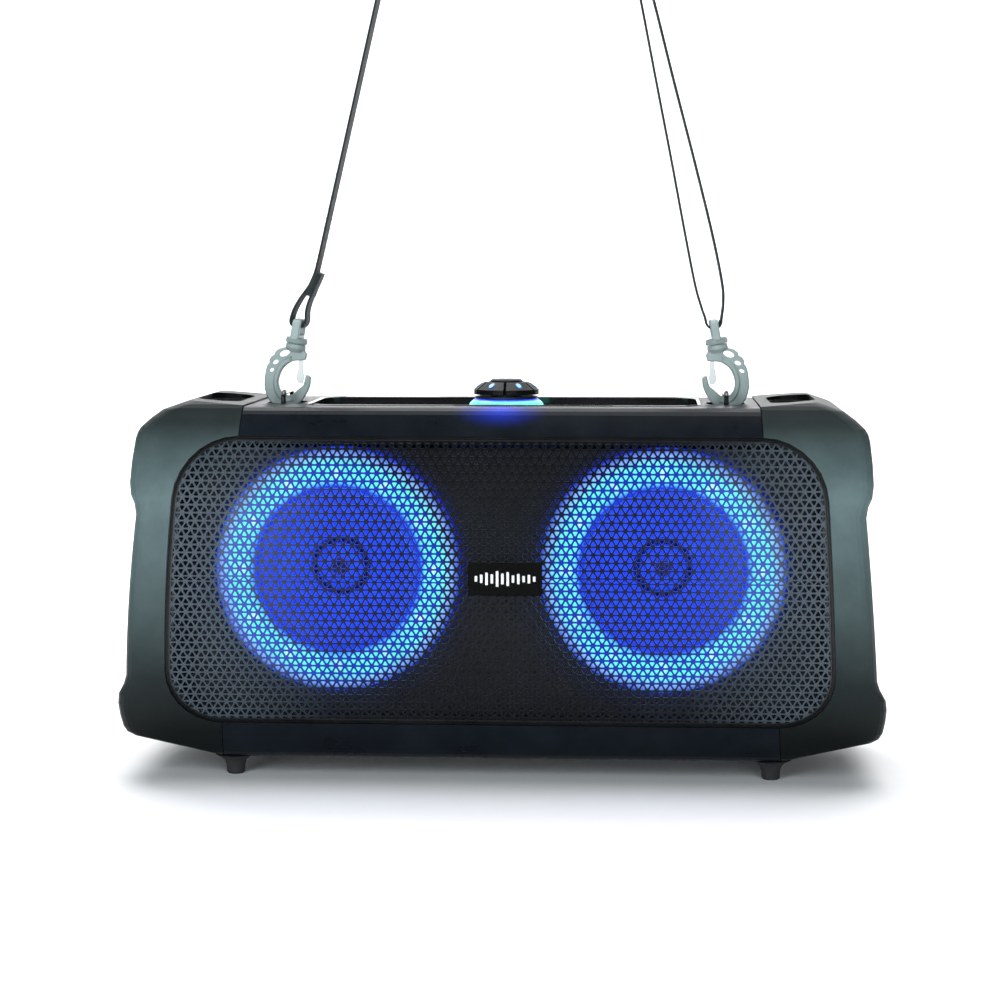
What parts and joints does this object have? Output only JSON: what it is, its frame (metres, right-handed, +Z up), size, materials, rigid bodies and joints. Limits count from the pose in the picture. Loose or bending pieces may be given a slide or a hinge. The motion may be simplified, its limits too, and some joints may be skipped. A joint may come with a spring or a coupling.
{
  "type": "portable party speaker with shoulder strap",
  "caption": "Wide portable music speaker with a convex perforated grille, light-ringed woofers, round key dome, moulded end caps and a clip-on shoulder strap.",
  "frame": {"origin": "centre of the underside of the four feet, without the strap", "axes": "+Z up, the grille faces -Y, +X to the right seen from the front"},
  "size_m": [0.4826, 0.1883, 0.5654],
  "materials": {
    "cap_plastic": "moulded charcoal plastic, fine grain",
    "bezel_plastic": "blue-black plastic, satin",
    "black_plastic": "black, fine grain",
    "gloss_plastic": "polished black",
    "rubber": "matt black",
    "grille_metal": "perforated steel, dark satin paint",
    "steel": "plain steel",
    "light_guide": "lit blue to mint translucent ring",
    "cone_paper": "woven blue cone",
    "hook_plastic": "grey-green satin",
    "gate_plastic": "white satin",
    "webbing": "woven black-green webbing",
    "pad_fabric": "padded black fabric",
    "circuit_board": "green board",
    "battery_wrap": "blue shrink wrap"
  },
  "bodies": {
    "speaker": {"cabinet": "black_plastic", "front_baffle": "black_plastic", "rear_cover": "cap_plastic", "base_plate": "bezel_plastic", "top_panel": "bezel_plastic", "top_bezel": "bezel_plastic", "bottom_bezel": "bezel_plastic", "grille": "grille_metal", "grille_frame": "black_plastic", "badge_plate": "gloss_plastic", "bass_port": "black_plastic", "main_board": "circuit_board", "battery_pack": "battery_wrap", "tray_trim": "gloss_plastic", "tray_mat": "rubber", "control_light_ring": "light_guide", "control_housing": "black_plastic", "control_board": "circuit_board", "strap_webbing": "webbing", "strap_slider": "black_plastic", "shoulder_pad": "pad_fabric", "io_panel": "black_plastic", "usb_socket": "steel", "aux_jack": "black_plastic", "charge_jack": "steel", "end_cap_left": "cap_plastic", "grip_cup_left": "black_plastic", "led_ring_left": "light_guide", "woofer_frame_left": "black_plastic", "woofer_magnet_left": "steel", "woofer_surround_left": "rubber", "strap_anchor_left": "gloss_plastic", "swivel_eye_left": "hook_plastic", "foot_front_left": "rubber", "foot_rear_left": "rubber", "end_cap_right": "cap_plastic", "grip_cup_right": "black_plastic", "led_ring_right": "light_guide", "woofer_frame_right": "black_plastic", "woofer_magnet_right": "steel", "woofer_surround_right": "rubber", "strap_anchor_right": "gloss_plastic", "swivel_eye_right": "hook_plastic", "foot_front_right": "rubber", "foot_rear_right": "rubber"},
    "woofer_cone_left": {"woofer_cone_left": "cone_paper"},
    "woofer_cone_right": {"woofer_cone_right": "cone_paper"},
    "hook_left": {"hook_left": "hook_plastic"},
    "hook_gate_left": {"hook_gate_left": "gate_plastic"},
    "hook_right": {"hook_right": "hook_plastic"},
    "hook_gate_right": {"hook_gate_right": "gate_plastic"},
    "control_key_1": {"control_key_1": "cap_plastic"},
    "control_key_2": {"control_key_2": "cap_plastic"},
    "control_key_3": {"control_key_3": "cap_plastic"},
    "control_key_4": {"control_key_4": "cap_plastic"},
    "control_key_5": {"control_key_5": "cap_plastic"},
    "control_key_6": {"control_key_6": "cap_plastic"},
    "power_button": {"power_button": "cap_plastic"},
    "io_flap": {"io_flap": "rubber"},
    "power_switch": {"power_switch": "gloss_plastic"}
  },
  "joints": [
    {"name": "woofer_cone_left_travel", "type": "slide", "parent": "speaker", "child": "woofer_cone_left", "axis": [0, 1, 0], "range_m": [-0.0025, 0.0025], "stiffness_N_per_m": 1500, "deforming": ["woofer_surround_left"]},
    {"name": "woofer_cone_right_travel", "type": "slide", "parent": "speaker", "child": "woofer_cone_right", "axis": [0, 1, 0], "range_m": [-0.0025, 0.0025], "stiffness_N_per_m": 1500, "deforming": ["woofer_surround_right"]},
    {"name": "hook_left_swivel", "type": "hinge", "parent": "speaker", "child": "hook_left", "pos_m": [-0.142, 0, 0.2407], "axis": [0.1668, 0, 0.986], "range_deg": [-20, 20]},
    {"name": "hook_gate_left_spring", "type": "hinge", "parent": "hook_left", "child": "hook_gate_left", "pos_m": [-0.13293, 0, 0.26675], "axis": [0, 1, 0], "range_deg": [0, 28], "stiffness_Nm_per_rad": 0.02, "springref_deg": -17.19},
    {"name": "hook_right_swivel", "type": "hinge", "parent": "speaker", "child": "hook_right", "pos_m": [0.142, 0, 0.2407], "axis": [-0.1668, 0, 0.986], "range_deg": [-20, 20]},
    {"name": "hook_gate_right_spring", "type": "hinge", "parent": "hook_right", "child": "hook_gate_right", "pos_m": [0.13293, 0, 0.26675], "axis": [0, -1, 0], "range_deg": [0, 28], "stiffness_Nm_per_rad": 0.02, "springref_deg": -17.19},
    {"name": "control_key_1_press", "type": "slide", "parent": "speaker", "child": "control_key_1", "axis": [0, 0, -1], "range_m": [0, 0.0008], "stiffness_N_per_m": 800, "springref_m": -0.0008},
    {"name": "control_key_2_press", "type": "slide", "parent": "speaker", "child": "control_key_2", "axis": [0, 0, -1], "range_m": [0, 0.0008], "stiffness_N_per_m": 800, "springref_m": -0.0008},
    {"name": "control_key_3_press", "type": "slide", "parent": "speaker", "child": "control_key_3", "axis": [0, 0, -1], "range_m": [0, 0.0008], "stiffness_N_per_m": 800, "springref_m": -0.0008},
    {"name": "control_key_4_press", "type": "slide", "parent": "speaker", "child": "control_key_4", "axis": [0, 0, -1], "range_m": [0, 0.0008], "stiffness_N_per_m": 800, "springref_m": -0.0008},
    {"name": "control_key_5_press", "type": "slide", "parent": "speaker", "child": "control_key_5", "axis": [0, 0, -1], "range_m": [0, 0.0008], "stiffness_N_per_m": 800, "springref_m": -0.0008},
    {"name": "control_key_6_press", "type": "slide", "parent": "speaker", "child": "control_key_6", "axis": [0, 0, -1], "range_m": [0, 0.0008], "stiffness_N_per_m": 800, "springref_m": -0.0008},
    {"name": "power_button_press", "type": "slide", "parent": "speaker", "child": "power_button", "axis": [0, 0, -1], "range_m": [0, 0.0008], "stiffness_N_per_m": 800, "springref_m": -0.0008},
    {"name": "io_flap_hinge", "type": "hinge", "parent": "speaker", "child": "io_flap", "pos_m": [0, 0.09124, 0.1418], "axis": [1, 0, 0], "range_deg": [0, 110]},
    {"name": "power_switch_rock", "type": "hinge", "parent": "speaker", "child": "power_switch", "pos_m": [0.034, 0.07931, 0.117], "axis": [1, 0, 0], "range_deg": [-10, 0]}
  ]
}
